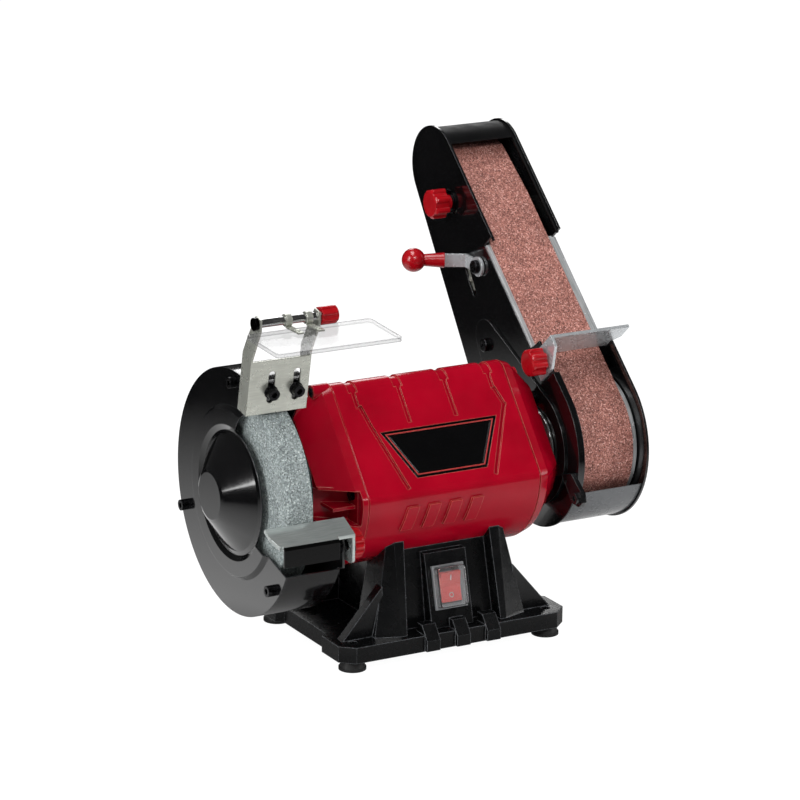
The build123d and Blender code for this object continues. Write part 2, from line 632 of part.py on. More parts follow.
def arm_bracket_plate():
    """Second plate on the motor side, clamped on the pivot ring."""
    face = hull_face([(0, 0, 44.0), (96, -11, 14.0)])
    plate = prism(face, 102.2, 103.8)
    plate -= rod(100, 110, PIVOT_R + 0.05)
    for y, z in ((90.6, -12.9), (28.5, 21.8)):
        plate -= rod(100, 107, 2.1, y, z)
    return on_arm(plate)


def arm_pivot_flange():
    """Fixed ring on the right end bell; the arm turns on it."""
    ring = rod(100.0, 101.6, 30.3, bore=12.0) + rod(101.6, 106.2, PIVOT_R, bore=16.0)
    for a in (90, 210, 330):
        y, z = 27 * math.cos(math.radians(a)), 27 * math.sin(math.radians(a))
        ring -= rod(99, 103, 2.2, y, z)
    return on_axis(ring)



def pivot_screws():
    out = []
    for a in (90, 210, 330):
        y, z = 27 * math.cos(math.radians(a)), 27 * math.sin(math.radians(a))
        out.append(on_axis(rod(90.5, 101.0, 1.85, y, z) + rod(101.0, 101.6, 2.15, y, z)))
    return out


def arm_right_plate():
    plate = side_plate(162.4, 164.1)
    plate -= prism(slot_face(188.0, 17.0, 34.0, 2.6, -7.0), 160, 166)
    plate -= rod(160, 166, 12.0)
    for y, z in ((90.6, -12.9), (28.5, 21.8), (20, -50), (212, -18)):
        plate -= rod(160, 166, 2.1, y, z)
    return on_arm(plate)


def arm_top_cover():
    """Folded cover over the idler end, with a lip round the belt window."""
    wall = arm_outline(1.6) - arm_outline(3.2)
    cover = prism(wall, 105.5, 162.3)
    region = prism(poly((150, 0), (150, 80), (300, 80), (300, -80), (96, -80), (96, 0)), 100, 170)
    cover &= region
    window = prism(poly((140, 5), (140, 80), (239.0, 80), (239.0, 5)), 107.0, 160.8)
    return on_arm(cover - window)


def arm_lower_shell():
    """Rolled shell under the drum and up the back of the arm."""
    wall = arm_outline(1.6) - arm_outline(3.2)
    shell = prism(wall, 105.5, 162.3)
    cut = prism(poly((-58, 35), (-80, 22), (-80, 90), (300, 90), (300, 0), (-40, 0)), 100, 170)
    shell -= cut
    shell -= prism(poly((95.5, 0), (95.5, -90), (300, -90), (300, 0)), 100, 170)
    return on_arm(shell)


def belt_side_guard():
    """Curved guard strip beside the drum on the motor side."""
    strip = rod(105.5, 107.0, 59.6, bore=50.6)
    strip &= prism(poly((0, 0), (-78, 43), (-80, 90), (44, 90), (28, 30)), 100, 110)
    return on_arm(strip)


def clamp_lug():
    """Small latch at the lower front corner of the arm."""
    lug = prism(poly((-36, 26), (-60, 26), (-66, 32), (-66, 39), (-60, 42), (-42, 38)), 100.2, 103.8)
    lug -= rod(99, 104, 44.4)
    knob = rod(97.0, 100.2, 4.2, -60, 35) - prism(Pos(-60, 35) * RegularPolygon(2.0, 6), 96.5, 99.0)
    return on_arm(lug + knob)


def arm_screws():
    """Cross-recessed screws and the spacers they pull against."""
    out = []
    for y, z in ((90.6, -12.9), (28.5, 21.8)):
        head = rod(98.4, 102.2, 5.1, y, z)
        head = fillet(head.edges().filter_by(GeomType.CIRCLE).sort_by(Axis.X)[0], 1.2)
        cross = prism(Pos(y, z) * (Rectangle(5.4, 1.2) + Rectangle(1.2, 5.4)), 98.0, 100.0)
        out.append((head + rod(102.2, 106.2, 2.05, y, z)) - cross)
    for y, z in ((20, -50), (212, -18)):
        out.append(rod(102.6, 103.8, 4.0, y, z) + rod(103.8, 106.0, 2.05, y, z))
    for y, z in ((90.6, -12.9), (28.5, 21.8), (20, -50), (212, -18)):
        out.append(rod(164.1, 165.3, 4.0, y, z) + rod(161.0, 164.1, 2.05, y, z))
    out.append(lever_screw())
    return on_arm(Compound(out))


def platen():
    """Polished platen whose folded edges show either side of the belt."""
    top = belt_outline(0.0) - belt_outline(-2.0)
    span = poly((60, 10), (60, 60), (151, 60), (151, 10))
    narrow = poly((36, 10), (36, 60), (196, 60), (196, 10))
    plate = prism(top & span, 104.0, 163.9) + prism(top & narrow, 107.6, 157.2)
    rib = poly((62, 0), (62, 42), (70, 42), (70, 0))
    for x0 in (105.6, 160.8):
        side = prism((belt_outline(-2.0) & poly((62, 12), (62, 60), (149, 60), (149, 12))), x0, x0 + 1.5)
        plate += side
    plate += prism(belt_outline(-2.0) & rib, 105.6, 162.2)
    plate += prism(belt_outline(-2.0) & poly((150, -12), (150, 40), (153, 40), (153, -12)), 108.4, 162.2)
    return on_arm(plate)


def sanding_belt():
    return on_arm(prism(belt_outline(BELT_T) - belt_outline(0.02), BELT_X0, BELT_X1))


def drive_drum():
    """Turned drum with a web; its bright rim stands beyond the belt."""
    drum = rod(108.0, 161.6, DRUM_R, bore=44.0) + rod(131.0, 136.0, 45.0, bore=6.02)
    drum += rod(112.0, 155.0, 12.0, bore=6.02) + rod(93.0, 112.0, 7.6, bore=6.02)
    edge = drum.edges().filter_by(GeomType.CIRCLE).sort_by(SortBy.LENGTH)[-2:]
    drum = chamfer(edge, 0.6)
    return on_axis(drum)




def idler_roller():
    roller = rod(BELT_X0 + 0.4, BELT_X1 - 0.4, IDLER_R, bore=11.0)
    return on_arm(Pos(0, IDLER_S, 0) * roller)


def idler_bearings():
    out = []
    for x in (108.4, 149.4):
        out.append(rod(x, x + 7.0, 10.98, bore=9.2) + rod(x + 0.4, x + 6.6, 9.2, bore=6.4)
                   + rod(x, x + 7.0, 6.4, bore=4.04))
    return on_arm(Pos(0, IDLER_S, 0) * Compound(out))


def idler_axle():
    body = rod(105.9, 160.4, 4.0) + rod(156.8, 158.0, 5.6)
    return on_arm(Pos(0, IDLER_S, 0) * body)


def idler_carriage():
    """Sliding fork that holds the idler axle."""
    fork = None
    cheek = hull_face([(IDLER_S, 0, 7.0), (199.0, 0, 9.0)])
    for x0, x1 in ((105.8, 107.0), (158.2, 160.2)):
        side = prism(cheek, x0, x1)
        fork = side if fork is None else fork + side
    fork += prism(poly((196, -9), (196, 6), (200, 6), (200, -9)), 105.8, 160.2)
    fork += rod(120.0, 148.0, 3.0, 198.0, -6.0)
    fork -= rod(100, 170, 4.03, IDLER_S, 0)
    pin = rod(103.9, 106.2, 2.2, 0, 0)
    cup = Plane.XZ.offset(-184.0) * Pos(133.0, -3.0) * (Circle(8.0) - Circle(6.6))
    fork += extrude(cup, amount=-12.5)
    tail = prism(poly((134, -8.6), (134, -2), (198, -2), (198, -8.6)), 105.8, 107.0)
    return on_arm(fork + tail + Pos(0, 143.0, -5.0) * pin)


def tension_spring():
    """Compression spring behind the carriage."""
    path = Helix(pitch=5.6, height=33.6, radius=5.0)
    wire = sweep(Plane(origin=path @ 0, z_dir=path % 0) * Circle(0.8), path=path)
    return on_arm(Pos(133.0, 154.0, -3.0) * Rot(-90, 0, 0) * wire)


def lever_plane():
    """Plane of the lever's bend: x is the machine's X, y runs out from the pivot."""
    return Plane(origin=(0, *LEVER), x_dir=(1, 0, 0), z_dir=(0, 0.724, 0.690))


def tension_lever():
    """Flat eye on the pivot, then a strip bent outwards to the left."""
    y, z = LEVER
    profile = poly((101.2, 0), (103.2, 0), (103.2, 19.0), (82.0, 28.6), (81.2, 26.8), (101.2, 17.7))
    strip = lever_plane() * extrude(profile, amount=5.0, both=True)
    eye = rod(101.2, 103.2, 7.5, y, z)
    return on_arm((strip + eye) - rod(98, 105, 2.3, y, z))


def lever_grip():
    """Ball grip moulded over the end of the strip."""
    axis = Plane(origin=(87.5, 25.2, 0), z_dir=(-0.911, 0.412, 0))
    neck = axis * Pos(0, 0, 8.5) * Cone(5.8, 4.4, 17.0)
    ball = axis * Pos(0, 0, 23.0) * Sphere(9.0)
    profile = poly((101.2, 17.7), (103.2, 19.0), (82.0, 28.6), (81.2, 26.8))
    grip = (neck + ball) - extrude(profile, amount=5.0, both=True)
    return on_arm(lever_plane() * grip)


def lever_screw():
    y, z = LEVER
    head = rod(97.4, 101.2, 5.2, y, z)
    head = fillet(head.edges().filter_by(GeomType.CIRCLE).sort_by(Axis.X)[0], 1.2)
    cross = prism(Pos(y, z) * (Rectangle(5.6, 1.2) + Rectangle(1.2, 5.6)), 97.0, 98.9)
    return (head + rod(101.2, 105.4, 2.15, y, z)) - cross


def tracking_knob():
    y, z = TRACK
    knob = star_knob(84.5, 96.5, 11.5, y, z, 7) + rod(96.5, 101.4, 5.6, y, z)
    return on_arm(knob - rod(88.0, 102.0, 3.02, y, z))


def tracking_screw():
    y, z = TRACK
    washer = rod(102.4, 103.7, 8.4, y, z, bore=3.05) + rod(101.5, 102.4, 6.5, y, z, bore=3.05)
    return on_arm(rod(88.2, 105.2, 3.0, y, z) + washer)


def work_rest():
    """Angle rest across the belt with a slotted flange on the motor side."""
    s = REST_S
    plate = block(101.2, 168.0, s, s + 2.4, 48.6, 76.0)
    plate -= block(103.4, 106.0, s - 1, s + 4, 48.0, 56.0) + block(161.8, 169.0, s - 1, s + 4, 48.0, 56.0)
    flange = block(101.2, 103.4, s - 18, s + 2.4, 42.0, 76.0)
    flange -= prism(poly((s - 19, 60), (s - 19, 77), (s - 6, 77)), 100, 104)
    rest = plate + flange
    rest -= Pos(168.0, s, 56.0) * Rot(0, 45, 0) * Box(7, 12, 7)
    rest -= prism(slot_face(42.0, 52.0, 8.0, 2.3, 90.0), 100, 104)
    return on_arm(rest)


def work_rest_screw():
    """Carriage bolt through the lug, the flange and the knob."""
    bolt = rod(105.4, 107.2, 4.6, 42.0, 55.0) + rod(90.0, 105.4, 2.1, 42.0, 55.0)
    return on_arm(bolt)


def work_rest_knob():
    knob = star_knob(87.0, 99.0, 10.5, 42.0, 55.0, 8) + rod(99.0, 101.1, 6.0, 42.0, 55.0)
    return on_arm(knob - rod(89.8, 102.0, 2.14, 42.0, 55.0))


# --- write the nodes ------------------------------------------------------
left_outer, left_inner = ball_bearing(-97.0, -89.0)
right_outer, right_inner = ball_bearing(85.0, 93.0)

NODES = {
    "base_casting": base_casting(),
    "base_bottom_plate": base_bottom_plate(),
    "rubber_feet": rubber_feet(),
    "cord_gland": cord_gland(),
    "switch_bezel": switch_bezel(),
    "switch_rocker": switch_rocker(),
    "switch_cover": switch_cover(),
    "motor_housing": motor_housing(),
    "left_end_bell": left_end_bell(),
    "right_end_bell": right_end_bell(),
    "case_screws": Compound(bottom_screws() + housing_screws() + pivot_screws()),
    "badge_plate": badge_plate(),
    "stator_core": stator_core(),
    "stator_windings": stator_windings(),
    "rotor_core": rotor_core(),
    "motor_shaft": motor_shaft(),
    "bearing_outer_races": Compound([on_axis(left_outer), on_axis(right_outer)]),
    "bearing_inner_races": Compound([on_axis(left_inner), on_axis(right_inner)]),
    "cooling_fan": cooling_fan(),
    "run_capacitor": run_capacitor(),
    "guard_outer_cover": guard_outer_cover(),
    "guard_inner_shell": guard_inner_shell(),
    "guard_screws": guard_screws(),
    "grinding_wheel": grinding_wheel(),
    "wheel_flanges": Compound([inner_flange(), outer_flange()]),
    "shaft_nuts": shaft_nuts(),
    "shield_bracket": shield_bracket(),
    "bracket_bolts": bracket_bolts(),
    "shield_rod": shield_rod(),
    "eye_shield": eye_shield(),
    "shield_clips": shield_clips(),
    "shield_knob": shield_knob(),
    "tool_rest": tool_rest(),
    "tool_rest_screw": tool_rest_screw(),
    "tool_rest_knob": tool_rest_knob(),
    "arm_left_plate": arm_left_plate(),
    "arm_bracket_plate": arm_bracket_plate(),
    "arm_pivot_flange": arm_pivot_flange(),
    "arm_right_plate": arm_right_plate(),
    "arm_top_cover": arm_top_cover(),
    "arm_lower_shell": arm_lower_shell(),
    "belt_side_guard": belt_side_guard(),
    "clamp_lug": clamp_lug(),
    "arm_screws": arm_screws(),
    "platen": platen(),
    "sanding_belt": sanding_belt(),
    "drive_drum": drive_drum(),
    "idler_roller": idler_roller(),
    "idler_bearings": idler_bearings(),
    "idler_axle": idler_axle(),
    "idler_carriage": idler_carriage(),
    "tension_spring": tension_spring(),
    "tension_lever": tension_lever(),
    "lever_grip": lever_grip(),
    "tracking_knob": tracking_knob(),
    "tracking_screw": tracking_screw(),
    "work_rest": work_rest(),
    "work_rest_screw": work_rest_screw(),
    "work_rest_knob": work_rest_knob(),
}

for name, shape in NODES.items():
    node(shape, name)
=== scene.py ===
"""Bench grinder with a belt sanding arm: looks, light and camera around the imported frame."""
import json
import math

import bmesh
import bpy
from mathutils import Matrix, Vector
from mathutils.bvhtree import BVHTree


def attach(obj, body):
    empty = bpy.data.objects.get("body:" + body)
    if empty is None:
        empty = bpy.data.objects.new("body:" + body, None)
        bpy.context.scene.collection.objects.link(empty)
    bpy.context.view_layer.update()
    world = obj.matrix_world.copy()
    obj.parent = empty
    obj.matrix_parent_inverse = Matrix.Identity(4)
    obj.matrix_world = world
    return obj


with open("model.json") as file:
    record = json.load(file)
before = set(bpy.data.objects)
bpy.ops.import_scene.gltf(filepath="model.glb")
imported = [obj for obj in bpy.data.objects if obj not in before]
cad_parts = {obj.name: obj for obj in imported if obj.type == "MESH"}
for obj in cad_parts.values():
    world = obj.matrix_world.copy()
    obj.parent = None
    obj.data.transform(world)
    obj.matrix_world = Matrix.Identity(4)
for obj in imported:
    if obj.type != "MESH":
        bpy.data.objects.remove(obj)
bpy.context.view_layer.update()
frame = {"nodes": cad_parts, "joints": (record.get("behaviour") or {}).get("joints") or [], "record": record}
NODES = frame["nodes"]
MM = 0.001
AXIS_H = 0.1245                         # height of the motor shaft above the bench, metres

# shading of every painted, moulded or metal piece
OPEN_FACE, ON_EDGE = 0.97, 0.80         # how far a softened normal leans: all face, all edge
BLACK_CAP_AND_SHADE = 0.006                      # tone of the rod's black end cap, and of the painted shade on the tool rest's front lip
SHEET_RIM = 0.65                        # how much of a clear sheet shows along its edges, as painted shade


# --- material helpers -----------------------------------------------------
class Mat:
    """A procedural node material on object coordinates; texture sizes are in millimetres."""

    def __init__(self, name, rough=0.4, metal=0.0, **sockets):
        self.mat = bpy.data.materials.new(name)
        self.mat.use_nodes = True
        self.tree = self.mat.node_tree
        self.bsdf = self.tree.nodes["Principled BSDF"]
        self.coord = self.tree.nodes.new("ShaderNodeTexCoord").outputs["Object"]
        self.bsdf.inputs["Roughness"].default_value = rough
        self.bsdf.inputs["Metallic"].default_value = metal
        for key, value in sockets.items():
            self.bsdf.inputs[key.replace("_", " ")].default_value = value
        self.normal = None

    def new(self, kind, **props):
        """A new node with its properties set."""
        made = self.tree.nodes.new(kind)
        for key, value in props.items():
            setattr(made, key, value)
        return made

    def link(self, source, target):
        self.tree.links.new(source, target)

    def mapped(self, stretch):
        """Object coordinates scaled by axis, for directional textures."""
        node = self.new("ShaderNodeMapping")
        node.inputs["Scale"].default_value = stretch
        self.link(self.coord, node.inputs["Vector"])
        return node.outputs["Vector"]

    def noise(self, size_mm, detail=3.0, coord=None):
        """Noise whose features are about size_mm across."""
        node = self.new("ShaderNodeTexNoise")
        node.inputs["Scale"].default_value = 1000.0 / size_mm
        node.inputs["Detail"].default_value = detail
        node.inputs["Roughness"].default_value = 0.5
        self.link(coord or self.coord, node.inputs["Vector"])
        return node.outputs["Fac"]

    def grains(self, size_mm, output="Color"):
        """Cells about size_mm across."""
        node = self.new("ShaderNodeTexVoronoi", feature="F1")
        node.inputs["Scale"].default_value = 1000.0 / size_mm
        self.link(self.coord, node.inputs["Vector"])
        return node.outputs[output]

    def ramp(self, value, *stops):
        """Colour ramp: stops are (position, colour), a colour being a number or three."""
        node = self.new("ShaderNodeValToRGB")
        cells = node.color_ramp.elements
        cells[0].position, cells[1].position = stops[0][0], stops[-1][0]
        made = [cells[0]] + [cells.new(place) for place, _ in stops[1:-1]] + [cells[len(stops) - 1]]
        for cell, (_, colour) in zip(made, stops):
            tone = (colour,) * 3 if isinstance(colour, (int, float)) else tuple(colour)
            cell.color = tone + (1.0,)
        self.link(value, node.inputs["Fac"])
        return node.outputs["Color"]

    def mix(self, fac, a, b, mode="MIX"):
        """Colour mix; fac, a and b are sockets, numbers or colours."""
        node = self.new("ShaderNodeMix", data_type="RGBA", blend_type=mode)
        for socket, value in ((node.inputs[0], fac), (node.inputs[6], a), (node.inputs[7], b)):
            if hasattr(value, "links"):
                self.link(value, socket)
            elif isinstance(value, (int, float)):
                socket.default_value = value if socket.type == "VALUE" else (value,) * 3 + (1.0,)
            else:
                socket.default_value = tuple(value) + (1.0,)
        return node.outputs[2]

    def colour(self, value):
        """Sets the base colour."""
        self.link(value, self.bsdf.inputs["Base Color"])

    def roughness(self, value, low, high):
        """Sets the roughness, spread from low to high over the middle of a noise."""
        node = self.new("ShaderNodeMapRange")
        node.inputs["To Min"].default_value = low
        node.inputs["To Max"].default_value = high
        node.inputs["From Min"].default_value = 0.3
        node.inputs["From Max"].default_value = 0.7
        self.link(value, node.inputs["Value"])
        self.link(node.outputs["Result"], self.bsdf.inputs["Roughness"])

    def bump(self, value, depth_mm):
        """Adds one layer of relief, depth_mm deep."""
        node = self.new("ShaderNodeBump")
        node.inputs["Distance"].default_value = depth_mm * MM
        node.inputs["Strength"].default_value = 1.0
        self.link(value, node.inputs["Height"])
        if self.normal is not None:
            self.link(self.normal, node.inputs["Normal"])
        self.normal = node.outputs["Normal"]
        self.link(self.normal, self.bsdf.inputs["Normal"])

    def soften(self, radius_mm):
        """Rounds every edge in the shading, so that edges catch the light."""
        node = self.new("ShaderNodeBevel", samples=6)
        node.inputs["Radius"].default_value = radius_mm * MM
        self.normal = node.outputs["Normal"]
        self.link(self.normal, self.bsdf.inputs["Normal"])
        return self

    def edges(self):
        """1 along the softened edges, 0 on open faces. It follows soften() and comes before any bump()."""
        turned = self.new("ShaderNodeVectorMath", operation="DOT_PRODUCT")
        self.link(self.normal, turned.inputs[0])
        self.link(self.new("ShaderNodeNewGeometry").outputs["Normal"], turned.inputs[1])
        return self.ramp(turned.outputs["Value"], (ON_EDGE, 1.0), (OPEN_FACE, 0.0))


def painted(name, deep, light, worn_and_highlit, rough, grain_mm, grain_depth, peel=0.0, coat=0.0, shine=0.5,
            edge_mm=0.8, rub_and_highlight=0.5):
    """Enamel or powder coat: colour drift, rubbed edges that also carry a painted highlight, and a grain of
    its own size.

    worn is the colour of the edges, rubbed paint and painted highlight in one, rub how strongly the edges
    take it, peel the depth of an orange peel.
    """
    m = Mat(name, Coat_Weight=coat, Coat_Roughness=0.06, Specular_IOR_Level=shine).soften(edge_mm)
    drift = m.ramp(m.noise(38, 2.0), (0.35, deep), (0.7, light))
    # along the edges the colour turns to the edge tone: in part rubbed paint, in part a painted highlight
    # for light caught on edges
    wear_and_highlight = m.mix(m.edges(), 0.0, m.ramp(m.noise(2.4, 4.0), (0.3, rub_and_highlight * 0.5), (0.65, rub_and_highlight)))
    m.colour(m.mix(wear_and_highlight, drift, worn_and_highlit))
    m.roughness(m.noise(9, 4.0), rough * 0.85, rough * 1.2)
    if grain_depth:
        m.bump(m.noise(grain_mm, 2.0), grain_depth)
    if peel:
        m.bump(m.noise(3.2, 1.0), peel)
    return m.mat


def plastic(name, deep, light, rough, grain_depth, coat=0.0, edge_mm=0.6):
    """Moulded plastic or rubber: faint colour drift and, with a depth, a fine grain."""
    m = Mat(name, Coat_Weight=coat, Coat_Roughness=0.08).soften(edge_mm)
    m.colour(m.ramp(m.noise(14, 3.0), (0.3, deep), (0.75, light)))
    m.roughness(m.noise(4, 3.0), rough * 0.8, rough * 1.3)
    if grain_depth:
        m.bump(m.noise(0.35, 2.0), grain_depth)
    return m.mat


def metal(name, dark, light, low, high, stretch=None, lines_mm=0.5, relief=0.01, spangle=0.0,
          bare=1.0, edge_mm=0.5, dark_side=None):
    """Bare or plated metal with brushed lines or a spangle; a passivated skin is less than all metal.

    low and high bound the roughness, stretch is the direction of the lines, relief their depth.
    dark_side is an axis and the millimetres below which the metal turns black: a real black cap on one
    piece, painted shade on another.
    """
    m = Mat(name, metal=bare).soften(edge_mm)
    if stretch:
        lines = m.noise(lines_mm, 4.0, m.mapped(stretch))
    else:
        lines = m.noise(lines_mm, 3.0)
    tone = m.ramp(lines, (0.3, dark), (0.7, light))
    if spangle:
        tone = m.mix(spangle, tone, m.ramp(m.grains(5.5), (0.2, dark), (0.9, light)))
    stain = m.ramp(m.noise(26, 3.0), (0.35, 0.88), (0.65, 1.0))
    tone = m.mix(1.0, tone, stain, "MULTIPLY")
    # below the given plane the metal is black: the rod's real cap, and painted shade on the tool rest's
    # front lip
    if dark_side:
        split = m.new("ShaderNodeSeparateXYZ")
        m.link(m.coord, split.inputs[0])
        beyond = m.new("ShaderNodeMath", operation="LESS_THAN")
        m.link(split.outputs[dark_side[0]], beyond.inputs[0])
        beyond.inputs[1].default_value = dark_side[1] * MM
        tone = m.mix(beyond.outputs["Value"], tone, BLACK_CAP_AND_SHADE)
    m.colour(tone)
    m.roughness(m.noise(7, 4.0), low, high)
    m.bump(lines, relief)
    return m.mat


def abrasive(name, tones, grain_mm, depth, drift_mm):
    """Bonded or coated grit: sharp coloured grains over a drifting ground."""
    m = Mat(name)
    cell = m.grains(grain_mm)
    speck = m.ramp(cell, *tones)
    drift = m.ramp(m.noise(drift_mm, 3.0), (0.3, 0.82), (0.7, 1.08))
    m.colour(m.mix(1.0, speck, drift, "MULTIPLY"))
    m.roughness(m.noise(grain_mm * 1.4, 2.0), 0.6, 0.95)
    m.bump(m.grains(grain_mm, output="Distance"), -depth)
    m.bump(m.noise(grain_mm * 1.7, 3.0), depth)
    return m.mat


def clear(name, tint, haze):
    """Clear plastic with faint haze and scuffs."""
    m = Mat(name, Transmission_Weight=1.0 - haze, IOR=1.5)
    m.colour(m.ramp(m.noise(30, 2.0), (0.2, [c * 0.97 for c in tint]), (0.8, tint)))
    scuffs = m.noise(0.6, 2.0, m.mapped((1.0, 0.05, 0.05)))
    m.roughness(scuffs, 0.02, 0.088)
    m.bump(m.noise(20, 1.0), 0.02)
    return m.mat


def sheet(name, tone, body, rim_mm):
    """Thin clear sheet seen through, as painted shade: a grey tone over what lies behind; body is how much
    of its faces shows, and its edges show more.
    """
    m = Mat(name).soften(rim_mm)
    m.colour(m.ramp(m.noise(30, 2.0), (0.2, tone), (0.8, [c * 1.1 for c in tone])))
    m.roughness(m.noise(0.6, 2.0, m.mapped((1.0, 0.05, 0.05))), 0.04, 0.16)
    shown = m.new("ShaderNodeMapRange")
    m.link(m.edges(), shown.inputs["Value"])
    shown.inputs["To Min"].default_value = body
    shown.inputs["To Max"].default_value = SHEET_RIM
    m.link(shown.outputs["Result"], m.bsdf.inputs["Alpha"])
    return m.mat


def windings():
    """Copper coils: enamelled turns around the slots."""
    m = Mat("copper", metal=0.85)
    turns = m.noise(0.9, 1.0, m.mapped((0.12, 1.0, 1.0)))
    m.colour(m.ramp(turns, (0.35, (0.22, 0.06, 0.02)), (0.65, (0.75, 0.3, 0.13))))
    m.roughness(m.noise(3, 3.0), 0.25, 0.5)
    m.bump(turns, 0.25)
    return m.mat


# the way brushed lines run
ALONG_X, ALONG_X_FINE = (0.06, 1.0, 1.0), (0.04, 1.0, 1.0)
AROUND_X, AROUND_X_FINE = (1.0, 0.05, 0.05), (1.0, 0.04, 0.04)

# one material for each material slot of the record
SLOT_MATERIALS = {
    "cast_black": painted("cast_black", (0.0025, 0.0027, 0.003), (0.004, 0.0042, 0.0046),
                          (0.19, 0.20, 0.215), 0.26, 0.8, 0.02, coat=0.2, shine=0.25, edge_mm=1.1, rub_and_highlight=0.9),
    "plate_black": painted("plate_black", (0.0022, 0.0022, 0.0025), (0.0035, 0.0035, 0.0038),
                           (0.09, 0.09, 0.095), 0.12, 1.2, 0.006, peel=0.02, coat=0.5, shine=0.45,
                           edge_mm=0.9, rub_and_highlight=0.6),
    "shell_grey": painted("shell_grey", (0.070, 0.075, 0.080), (0.095, 0.100, 0.106),
                          (0.12, 0.12, 0.12), 0.25, 1.0, 0.03, coat=0.3),
    "red_paint": painted("red_paint", (0.27, 0.0002, 0.009), (0.34, 0.0005, 0.012), (0.88, 0.30, 0.21),
                         0.2, 1.4, 0.012, peel=0.03, coat=0.12, shine=0.2, edge_mm=0.9, rub_and_highlight=0.5),
    "rubber": plastic("rubber", (0.006, 0.006, 0.006), (0.014, 0.014, 0.014), 0.55, 0.05),
    "black_plastic": plastic("black_plastic", (0.003, 0.003, 0.0035), (0.006, 0.006, 0.0065),
                             0.22, 0.01, coat=0.2),
    "grey_plastic": plastic("grey_plastic", (0.20, 0.21, 0.22), (0.27, 0.28, 0.29), 0.38, 0.03),
    "red_plastic": plastic("red_plastic", (0.28, 0.002, 0.005), (0.36, 0.003, 0.008), 0.2, 0.02, coat=0.1),
    "black_screw": metal("black_screw", (0.012, 0.012, 0.013), (0.030, 0.030, 0.032), 0.22, 0.36),
    "steel": metal("steel", (0.55, 0.55, 0.55), (0.80, 0.80, 0.79), 0.1, 0.2, ALONG_X_FINE, bare=0.9),
    "idler_alloy": metal("idler_alloy", (0.60, 0.61, 0.62), (0.80, 0.81, 0.82), 0.2, 0.35, AROUND_X),
    "zinc": metal("zinc", (0.47, 0.48, 0.43), (0.60, 0.61, 0.545), 0.24, 0.34, ALONG_X, 0.7, 0.002,
                  spangle=0.12, bare=0.7),
    "copper": windings(),
    "clear": clear("clear", (0.74, 0.745, 0.75), 0.42),
    "grit_stone": abrasive("grit_stone", ((0.05, (0.08, 0.09, 0.09)), (0.4, (0.20, 0.235, 0.235)),
                                          (0.75, (0.33, 0.375, 0.37)), (0.95, (0.60, 0.65, 0.64))),
                           0.9, 0.24, 9),
    "grit_belt": abrasive("grit_belt", ((0.05, (0.06, 0.018, 0.013)), (0.4, (0.24, 0.085, 0.065)),
                                        (0.75, (0.42, 0.18, 0.145)), (0.95, (0.72, 0.42, 0.37))),
                          0.8, 0.18, 14),
}

# nodes whose look differs from the rest of their slot
ZINC_COOL = metal("zinc_cool", (0.60, 0.63, 0.65), (0.76, 0.79, 0.81), 0.2, 0.3, ALONG_X, 0.7, 0.003,
                  spangle=0.1, bare=0.65)
POLISHED = metal("polished", (0.42, 0.44, 0.45), (0.90, 0.91, 0.92), 0.16, 0.28, AROUND_X_FINE, 0.8, 0.003,
                 bare=0.6)
OWN_MATERIALS = {
    "switch_cover": clear("cover_film", (0.97, 0.97, 0.975), 0.03),
    "switch_rocker": plastic("rocker_red", (0.72, 0.06, 0.05), (0.86, 0.12, 0.10), 0.2, 0.0, coat=0.5),
    "arm_top_cover": painted("textured_black", (0.002, 0.002, 0.0023), (0.0035, 0.0035, 0.0038),
                             (0.03, 0.03, 0.032), 0.5, 0.8, 0.12, shine=0.08),
    # the shield's grey, stronger at its rim, is painted shade
    "eye_shield": sheet("shield_sheet", (0.12, 0.12, 0.125), 0.25, 2.2),
    "badge_plate": plastic("badge_black", (0.0012, 0.0012, 0.0014), (0.0016, 0.0016, 0.0018), 0.06, 0.0),
    # its front lip, below -95.6 mm in Y, is painted shade: black in place of the shade and dark reflection
    # there
    "tool_rest": metal("bright_zinc", (0.46, 0.50, 0.49), (0.62, 0.66, 0.64), 0.09, 0.17, ALONG_X, 0.7,
                       0.002, spangle=0.08, bare=0.72, dark_side=("Y", -95.6)),
    "shield_rod": metal("capped_rod", (0.50, 0.50, 0.50), (0.75, 0.75, 0.75), 0.12, 0.22,
                        dark_side=("X", -154.8)),
    "platen": POLISHED,
    "drive_drum": POLISHED,
    "work_rest": ZINC_COOL,
    "tension_lever": ZINC_COOL,
}
for part in frame["record"]["subparts"]:
    mesh = NODES[part["node"]].data
    mesh.materials.clear()
    mesh.materials.append(OWN_MATERIALS.get(part["node"], SLOT_MATERIALS[part["material_slot"]]))


# --- piece helpers --------------------------------------------------------
def tree_of(name):
    """Search tree over a CAD node's faces."""
    bm = bmesh.new()
    bm.from_mesh(NODES[name].data)
    tree = BVHTree.FromBMesh(bm)
    bm.free()
    return tree


PROBE_FROM, PROBE_REACH = 0.03, 0.06    # where a point starts above the plane, and how far it may fall
SINK_MM = 0.1                           # how deep a plate's underside sits in the surface


